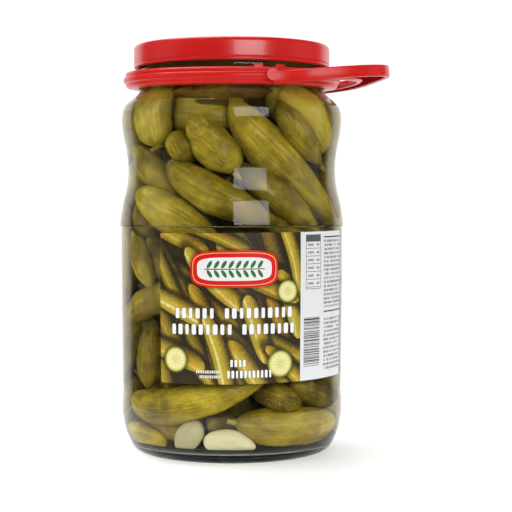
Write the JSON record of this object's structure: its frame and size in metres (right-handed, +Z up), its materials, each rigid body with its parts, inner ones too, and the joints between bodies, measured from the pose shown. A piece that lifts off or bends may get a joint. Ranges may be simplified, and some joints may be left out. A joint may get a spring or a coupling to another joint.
{
  "type": "pickle jar",
  "caption": "Waisted glass jar of pickled cucumbers and garlic with a twist lid, a neck ring, a hinged carrying handle and a wrap label.",
  "frame": {"origin": "centre of the jar's base, on the table", "axes": "+Z up along the jar's axis, -Y towards the front, with the middle of the label a little to the right of it, +X towards the carrying handle"},
  "size_m": [0.1404, 0.1278, 0.214],
  "materials": {
    "glass": "clear, smooth, faint green tint",
    "lid_red": "gloss red lacquer on steel",
    "handle_red": "moulded red plastic, half gloss",
    "label_print": "printed paper, satin varnish",
    "pickle_green": "wet olive-green cucumber skin, finely streaked and warty",
    "garlic_cream": "smooth wet cream clove"
  },
  "bodies": {
    "jar": {"glass_jar": "glass", "lid": "lid_red", "carry_ring": "handle_red", "label": "label_print", "pickle_heap": "pickle_green", "garlic_clove_1": "garlic_cream", "garlic_clove_2": "garlic_cream"},
    "handle": {"carry_handle": "handle_red"}
  },
  "joints": [
    {"name": "handle_hinge", "type": "hinge", "parent": "jar", "child": "handle", "pos_m": [0.01188, 0.00167, 0.1944], "axis": [0.1392, -0.9903, 0], "range_deg": [0, 125]}
  ]
}
